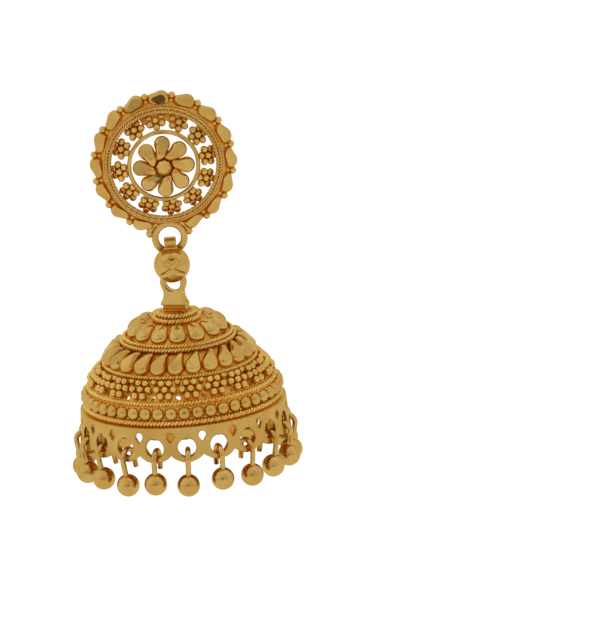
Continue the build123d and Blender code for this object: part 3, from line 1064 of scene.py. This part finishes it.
@dataclass
class Hanger:
    """The plate with the eye that stands on the bell's crown."""

    turn_back: float = -20.0
    thick: float = 1.1
    edge: float = 0.12
    eye: Sizes = (-15.08, 1.6, 1.05)
    flank: Section = (
        (1.7, -17.98), (1.7, -17.62), (1.48, -17.3), (1.33, -16.9), (1.26, -16.5),
        (1.28, -16.15), (1.34, -16.0),
    )
    leg: Sizes = (1.4, 1.68, -18.9, -17.8, 1.06, 0.06)
    block: Sizes = (-1.15, 1.62, -19.1, -18.45, 1.8, 0.12)
    slot: Sizes = (-1.6, 1.5, -18.7, -17.6, 0.1, 0.02)

    def shape(self) -> Shape:
        """Cuts the plate with its eye, its leg and the block under it.

        Returns:
            The hanger, standing on the bell's axis.
        """
        height, outer, hole = self.eye
        across, waist = self.flank[-1]
        start = math.atan2(waist - height, across)
        over = arc(outer, start, math.pi - start, 33)[1:-1] + (0, height)
        left = [(-x, z) for x, z in reversed(self.flank)]
        edge = np.array([*self.flank, *over, *left])
        eye = circle(hole)[::-1] + (0, height)
        made = [plate([edge, eye], self.thick, self.edge), slab(*self.leg), slab(*self.block)]
        return Shape.joined(made).placed(turn(self.turn_back) @ STANDING)

    def shadow_foot(self) -> Shape:
        """Cuts the thin foot that shows in the slot above the block, standing in place; in the
        shaded recess finish this thin sheet is the painted shadow in the slot.
        """
        return slab(*self.slot).placed(turn(self.turn_back) @ STANDING)


@dataclass
class Bell:
    """The bell: wall, ropes, tiers of bosses and the hanger on its crown."""

    outside: Section = (
        (0.0, -18.5), (1.3, -18.5), (1.95, -18.75), (2.2, -19.2), (2.5, -19.7), (3.4, -19.8),
        (4.75, -20.1), (5.5, -20.9), (5.85, -21.55), (6.6, -21.6), (6.75, -22.0),
        (6.5, -22.1), (7.2, -22.7), (8.4, -23.8), (9.1, -24.45), (9.25, -24.95),
        (9.35, -25.15), (10.2, -25.95), (11.1, -26.95), (11.35, -27.3), (11.6, -27.75),
        (11.68, -27.9), (11.68, -29.3), (11.9, -30.0), (12.3, -30.15), (12.2, -30.35),
    )
    inside: Section = (
        (11.2, -30.35), (11.2, -27.75), (10.4, -26.9), (8.88, -25.42), (6.1, -22.35),
        (5.2, -21.9), (4.35, -20.6), (2.4, -20.3), (0.0, -20.3),
    )
    ropes: tuple[Sizes, ...] = (
        (2.18, -18.92, 0.35, 0.42), (2.7, -19.48, 0.35, 0.42), (6.6, -21.5, 0.27, 0.4),
        (6.92, -21.95, 0.27, 0.4), (9.3, -24.72, 0.3, 0.4), (11.4, -27.42, 0.36, 0.42),
        (11.92, -29.7, 0.4, 0.43),
    )
    ovals: int = 14
    oval: Ornament = Ornament(teardrop(2.85, 2.3, 0.9), rise=0.95, skirt=0.5, rings=14)
    oval_place: Sizes = (4.98, -20.5, 50.0)
    oval_sway: float = 0.8
    drops: int = 25
    drop: Ornament = Ornament(
        teardrop(3.35, 2.16, 0.34, 0.16), rise=1.05, skirt=0.5, top=0.78, lean=(0.0, -0.06),
        sway=0.06, side=((0.76, 0.2, 0.5), (1.0, 0.25, 0.55)),
    )
    drop_place: Sizes = (8.15, -23.34, 45.0)
    drop_turn: float = -19.0
    drop_start: float = 3.0
    clusters: int = 21
    cluster_turn: float = 5.5
    cluster_slope: float = 45.0
    grain_rows: tuple[tuple[Sizes, float, float], ...] = (
        ((-0.155, 0.155), 10.05, -25.22),
        ((-0.33, 0.0, 0.33), 10.62, -25.83),
        ((-0.155, 0.155), 11.16, -26.5),
    )
    grain: float = 0.46
    grain_top: float = 0.86
    between: float = 0.38
    between_place: Sizes = (9.85, -25.12)
    hole: float = 0.42
    hole_place: Sizes = (10.9, -26.72)
    small_hole: float = 0.3
    small_hole_place: Sizes = (10.05, -25.85)
    small_hole_gaps: tuple[int, ...] = (2, 3, 7, 8, 12, 15, 19)
    drill_reach: float = 1.5
    studs: int = 46
    stud: Ornament = Ornament(
        circle(0.77, 24), rise=0.64, skirt=0.3, rings=8, top=0.6, sway=0.09
    )
    stud_place: Sizes = (11.86, -28.55)
    stud_slope: float = 8.0
    prong: float = 0.17
    prong_inset: float = 0.02
    prong_lifts: Sizes = (-0.62, 0.66)
    hanger: Hanger = field(default_factory=Hanger)

    def on_cluster_row(self, radius: float, height: float, share: float) -> Matrix:
        """Gives a place in the third tier, a share of a step round from the first cluster."""
        side = 360 / self.clusters * share + self.cluster_turn
        return on_wall(radius, height, self.cluster_slope, side)

    def drills(self) -> Shape:
        """Makes the drills for the see-through holes between the grain clusters.

        Returns:
            The drills at their places.
        """
        large, small = (
            stacked([(radius, -self.drill_reach), (radius, self.drill_reach)], 12)
            for radius in (self.hole, self.small_hole)
        )
        low = large.placed(on_wall(*self.hole_place, self.cluster_slope))
        made = [low.around(self.clusters, 180 / self.clusters + self.cluster_turn)]
        for gap in self.small_hole_gaps:
            made.append(small.placed(self.on_cluster_row(*self.small_hole_place, gap + 0.5)))
        return Shape.joined(made)

    def wall(self) -> Shape:
        """Turns the wall, with the step under each tier, and drills it.

        Returns:
            The wall with its holes.
        """
        blank = turned((*self.outside, *self.inside), 168)
        wall = added("wall_blank", blank.mesh("wall_blank"))
        drills = added("wall_drills", self.drills().mesh("wall_drills"))
        drilling = wall.modifiers.new("drilling", "BOOLEAN")
        drilling.operation = "DIFFERENCE"
        drilling.solver = "EXACT"
        drilling.object = drills
        shown = wall.evaluated_get(bpy.context.evaluated_depsgraph_get())
        done = bpy.data.meshes.new_from_object(shown)
        corners = np.array([vert.co[:] for vert in done.vertices]) / MILLIMETRE
        faces = [tuple(face.vertices) for face in done.polygons]
        for made in (wall, drills):
            bpy.data.objects.remove(made)
        return Shape(corners, faces)

    def tiers(self) -> Shape:
        """Cuts the ovals of the first tier and the teardrops of the second.

        Returns:
            The bosses.
        """
        dice = np.random.default_rng(seed=3)
        oval = self.oval.shape()
        made = []
        for angle in even(self.ovals):
            side = angle + dice.uniform(-self.oval_sway, self.oval_sway)
            made.append(oval.placed(on_wall(*self.oval_place, side)))
        for side in even(self.drops, -self.drop_start):
            spot = on_wall(*self.drop_place, side) @ turn(self.drop_turn)
            made.append(self.drop.shape(dice).placed(spot))
        return Shape.joined(made)

    def granules(self) -> Shape:
        """Sets the clusters of seven grains in three rows, and the prongs of the last tier.

        Returns:
            The grains.
        """
        grain = ball(self.grain).cut((0, 0, self.grain * self.grain_top), (0, 0, 1))
        made = []
        for places, radius, height in self.grain_rows:
            for share in places:
                spot = self.on_cluster_row(radius, height, share)
                made.append(grain.placed(spot).around(self.clusters))
        spot = self.on_cluster_row(*self.between_place, 0.5)
        made.append(ball(self.between, 12, 8).placed(spot).around(self.clusters))
        prong = ball(self.prong, 8, 6)
        radius, height = self.stud_place
        for lift in self.prong_lifts:
            spot = turn(180 / self.studs) @ move(0, self.prong_inset - radius, height + lift)
            made.append(prong.placed(spot).around(self.studs))
        return Shape.joined(made)

    def bosses(self) -> Shape:
        """Cuts the round bosses of the last tier.

        Returns:
            The bosses.
        """
        dice = np.random.default_rng(seed=8)
        made = []
        for side in even(self.studs):
            spot = on_wall(*self.stud_place, self.stud_slope, side)
            made.append(self.stud.shape(dice).placed(spot))
        return Shape.joined(made)

    def build(self, dresser: Dresser) -> None:
        """Makes and dresses the bell's pieces."""
        ropes = Shape.joined(rope_ring(*rope) for rope in self.ropes)
        parts = {
            # The wall between the ornaments wears the shaded recess finish: painted shade and
            # reflected gold glow
            "bell_wall": (self.wall(), Surface.SHADED_RECESS),
            "bell_ropes": (ropes, Surface.ROPE),
            "bell_tiers": (self.tiers(), Surface.CUT),
            "bell_grains": (self.granules(), Surface.GRAIN),
            "bell_bosses": (self.bosses(), Surface.CUT),
            "bell_hanger": (self.hanger.shape(), Surface.SATIN),
            # The foot is a thin sheet in the shaded recess finish: painted shadow in the slot under
            # the plate
            "bell_hanger_foot_shadow": (self.hanger.shadow_foot(), Surface.SHADED_RECESS),
        }
        dresser.pieces(parts, Body.DROP, "bell", hung("drop_swing"))


@dataclass
class Gallery:
    """The pierced, scalloped band under the bell."""

    cells: int = 20
    top: Sizes = (12.65, -30.15)
    tip: Sizes = (13.0, -34.43)
    thick: float = 0.5
    edge: float = 0.09
    hole: Sizes = (-32.63, 1.16)
    notch: float = -33.55
    triangle: Sizes = (-30.72, -32.0, 0.5)
    triangle_tail: float = 0.13
    lip_depth: float = 0.85
    lip_thick: float = 0.5
    lip_reach: float = 78.0
    lip_overlap: float = 0.2
    lip_gap: float = 0.02
    rim: Section = ((11.3, -30.4), (11.3, -30.1), (12.4, -30.1), (12.62, -30.2), (12.3, -30.4))
    soldered: Sizes = (-45.0, -9.0, 27.0)
    solder_radius: float = 0.7
    solder_thick: float = 0.16
    solder_edge: float = 0.04
    solder_inset: float = 0.66
    solder_height: float = -31.35

    def scallops(self, half: float) -> list[tuple[float, float]]:
        """Draws the lower edge of three scallops as round arcs.

        Args:
            half: half a scallop's width.

        Returns:
            The points from left to right.
        """
        rise = self.notch - self.tip[1]
        bend = (half**2 + rise**2) / (2 * rise)
        reach = math.asin(half / bend)
        points = []
        for scallop in (-1, 0, 1):
            for angle in np.linspace(-reach, reach, 17)[:-1]:
                across = 2 * half * scallop + bend * math.sin(angle)
                points.append((across, self.tip[1] + bend * (1 - math.cos(angle))))
        return [*points, (3 * half, self.notch)]

    def cell(self) -> Shape:
        """Cuts one scallop of the band, flat, with its hole and triangles.

        Returns:
            The cell, divided so that it can be bent.
        """
        half = math.pi * self.tip[0] / self.cells
        upper = [(3 * half, self.top[1]), (-3 * half, self.top[1])]
        outlines = [np.array([*self.scallops(half), *upper])]
        height, radius = self.hole
        for scallop in (-1, 0, 1):
            outlines.append(circle(radius, 36)[::-1] + (2 * half * scallop, height))
        high, low, wide = self.triangle
        for side in (-1, 1):
            drop = -teardrop(high - low, 2 * wide, self.triangle_tail)[::-1]
            outlines.append(drop + (half * side, (high + low) / 2))
        return plate(outlines, self.thick, self.edge).sliced(np.linspace(-half, half, 13))

    def lip(self) -> Shape:
        """Turns the limb inward under the front hole, where a dangle hooks round it.

        Returns:
            The lip at the front of the bell.
        """
        height, radius = self.hole
        inner = self.tip[0] - self.thick - self.lip_depth
        share = circle(0.5, 14) + 0.5
        out = radius + self.lip_gap + self.lip_thick * share[:, 0]
        back = -(inner + (self.lip_depth + self.lip_overlap) * share[:, 1])
        levels = []
        for angle in np.radians(np.linspace(-90 - self.lip_reach, self.lip_reach - 90, 25)):
            across, up = math.cos(angle), math.sin(angle)
            levels.append(np.column_stack([across * out, back, height + up * out]))
        return lofted(levels)

    def solder(self) -> Shape:
        """Closes some of the small triangles from behind.

        Returns:
            The solder at its places.
        """
        plug = plate([circle(self.solder_radius, 20)], self.solder_thick, self.solder_edge)
        spot = move(0, -self.tip[0] + self.solder_inset, self.solder_height) @ STANDING
        plug = plug.placed(spot)
        return Shape.joined(plug.placed(turn(side)) for side in self.soldered)

    def rounded(self, corners: np.ndarray) -> np.ndarray:
        """Wraps flat corners round the bell's axis, flaring towards the tips.

        Args:
            corners: across, up and out of the flat band.

        Returns:
            The corners in place.
        """
        (top_radius, top), (tip_radius, tip) = self.top, self.tip
        share = (corners[:, 1] - top) / (tip - top)
        radius = top_radius + (tip_radius - top_radius) * share - self.thick / 2 + corners[:, 2]
        angle = corners[:, 0] / tip_radius
        across, back = radius * np.sin(angle), -radius * np.cos(angle)
        return np.column_stack([across, back, corners[:, 1]])

    def build(self, dresser: Dresser) -> None:
        """Makes and dresses the band with the rim above it, and its lips with the solder."""
        band = self.cell().bent(self.rounded).around(self.cells)
        lips = self.lip().around(self.cells)
        parts = {
            "gallery_band": (Shape.joined([band, turned(self.rim, 120)]), Surface.CAST),
            # The lips and the solder wear the shaded recess finish: painted shade and reflected
            # gold glow inside the holes
            "gallery_lips": (Shape.joined([lips, self.solder()]), Surface.SHADED_RECESS),
        }
        dresser.pieces(parts, Body.DROP, "bell", hung("drop_swing"))


@dataclass
class Dangle:
    """One ball on its wire hook, hanging at its own small angle."""

    number: int
    count: int = 20
    limb_radius: float = 12.325
    limb_height: float = -34.12
    wire: float = 0.33
    bend: float = 1.15
    tail: float = 1.7
    radius: float = 1.4
    drop_mean: float = 2.92
    drop_sway: float = 0.22
    tilt_mean: float = 11.0
    tilt_sway: float = 1.5
    lean_sway: float = -4.5
    sway_step: float = 137.5

    @property
    def sway(self) -> float:
        """An angle that differs from dangle to dangle and varies how each one hangs."""
        return math.radians(self.sway_step * self.number)

    @property
    def drop(self) -> float:
        """How far the ball's centre hangs below the limb."""
        return self.drop_mean + self.drop_sway * math.sin(self.sway)

    def hook(self) -> Shape:
        """Bends the wire: down to the ball in front, cut short behind.

        Returns:
            The hook before it is hung.
        """
        leg = [(-self.bend, z) for z in np.linspace(-self.drop + self.radius * 0.9, 0, 7)]
        arch = arc(self.bend, math.pi, 0, 15)[1:-1]
        end = [(self.bend, z) for z in np.linspace(0, -self.tail, 5)]
        path = np.array([(0, y, z) for y, z in (*leg, *arch, *end)])
        return swept(path, (1, 0, 0), self.wire, 12)

    def place(self) -> Matrix:
        """Gives how the dangle hangs on the band."""
        tilt = self.tilt_mean + self.tilt_sway * math.sin(self.sway)
        lean = self.lean_sway * math.cos(self.sway)
        side = (self.number - 1) * 360 / self.count
        spot = turn(side) @ move(0, -self.limb_radius, self.limb_height)
        return spot @ turn(lean, "Y") @ turn(tilt, "X")

    def build(self, dresser: Dresser) -> None:
        """Makes and dresses the dangle."""
        bead = ball(self.radius, 32, 22).placed(move(0, -self.bend, -self.drop))
        shape = Shape.joined([bead, self.hook()]).placed(self.place()).placed(hung("drop_swing"))
        node = f"dangle_{self.number:02d}"
        dresser.piece(f"{node}_ball", shape, Surface.POLISHED, Body.DROP, [node])


# ---- studio


def grey(level: float) -> Colour:
    """Gives a grey, which is white at 1."""
    return level, level, level, 1.0


@dataclass
class Studio:
    """A white tent with a pale floor, and the camera."""

    distance: float = 1000.0
    elevation: float = 15.0
    roll: float = 4.5
    lens: float = 463.5
    film: float = 36.0
    target: Spot = (15.1, -0.8, -20.85)
    floor_below: float = 90.0
    floor_radius: float = 3000.0
    floor_tones: Sizes = (0.86, 0.88)
    floor_glows: Sizes = (0.4, 1.0)
    floor_strength: float = 0.36
    glow: float = 0.79
    backdrop: float = 1.05

    @property
    def lens_way(self) -> Spot:
        """The way from the earring to the camera."""
        up = math.radians(self.elevation)
        return 0.0, -math.cos(up), math.sin(up)

    def camera(self) -> None:
        """Sets the camera in front of the earring, a little above it, and aims it."""
        aim = Vector(self.target)
        eye = Vector((0, aim.y, aim.z)) + Vector(self.lens_way) * self.distance
        data = bpy.data.cameras.new("camera")
        data.lens, data.sensor_width = self.lens, self.film
        data.clip_start, data.clip_end = 0.01, 20.0
        camera = added("camera", data)
        camera.rotation_mode = "QUATERNION"
        look = (aim - eye).to_track_quat("-Z", "Y")
        camera.rotation_quaternion = look @ turn(-self.roll).to_quaternion()
        camera.location = eye * MILLIMETRE
        bpy.context.scene.camera = camera

    def surroundings(self) -> None:
        """Lights the tent: white all round, a little less below, dark where the camera looks in."""
        world = bpy.data.worlds.new("tent")
        bpy.context.scene.world = world
        board = Board(world)
        way = board.place("Generated")
        pair = {0: way, 1: self.lens_way}
        near = board.node("ShaderNodeVectorMath", {"operation": "DOT_PRODUCT"}, pair, "Value")
        height = board.node("ShaderNodeSeparateXYZ", {}, {0: way}, "Z")
        side = board.node("ShaderNodeSeparateXYZ", {}, {0: way}, "X")
        light = 0.94 + 0.16 * height.between(-0.2, 0.9) + 0.1 * side.between(0.2, -0.8)
        folds = board.noise(way, scale=2.6, detail=1.0)
        light = light * (0.86 + 0.28 * folds.between(0.35, 0.65))
        light = light * (1 - 0.2 * near.between(0.35, 0.98))
        light = light * (1 - 0.85 * near.between(math.cos(0.15), math.cos(0.11)))
        seen = board.seen()
        strength = light * self.glow * (1 - seen) + self.backdrop * seen
        sockets = {"Color": grey(1.0), "Strength": strength}
        back = board.node("ShaderNodeBackground", {}, sockets)
        board.node("ShaderNodeOutputWorld", {}, {"Surface": back})

    def floor(self) -> None:
        """Lays the plain pale floor well under the earring."""
        low = CAD_BOX[0].z / MILLIMETRE - self.floor_below
        outline = lifted(circle(self.floor_radius, 64), low)
        mesh = Shape(outline, [tuple(range(len(outline)))]).mesh("floor")
        made = bpy.data.materials.new("floor_white")
        board = Board(made)
        cloud = board.patches(board.place("Object"), size=400.0)
        board.surface(
            {
                "Base Color": board.blend(cloud, *map(grey, self.floor_tones)),
                "Roughness": 0.8,
                "Emission Color": board.blend(board.seen(), *map(grey, self.floor_glows)),
                "Emission Strength": self.floor_strength,
            }
        )
        mesh.materials.append(made)
        floor = added("floor", mesh)

    def build(self) -> None:
        """Sets up the whole studio."""
        bpy.context.scene.view_settings.view_transform = "Standard"
        self.camera()
        self.surroundings()
        self.floor()


def main() -> None:
    """Builds the earring and the studio."""
    logging.basicConfig(level=logging.INFO, format="%(name)s: %(message)s")
    Studio().build()
    dresser = Dresser()
    for part in (Stud(), EarPost(), Link(), Bell(), Gallery()):
        part.build(dresser)
    for number in range(1, Dangle.count + 1):
        Dangle(number).build(dresser)


if __name__ == "__main__":
    main()
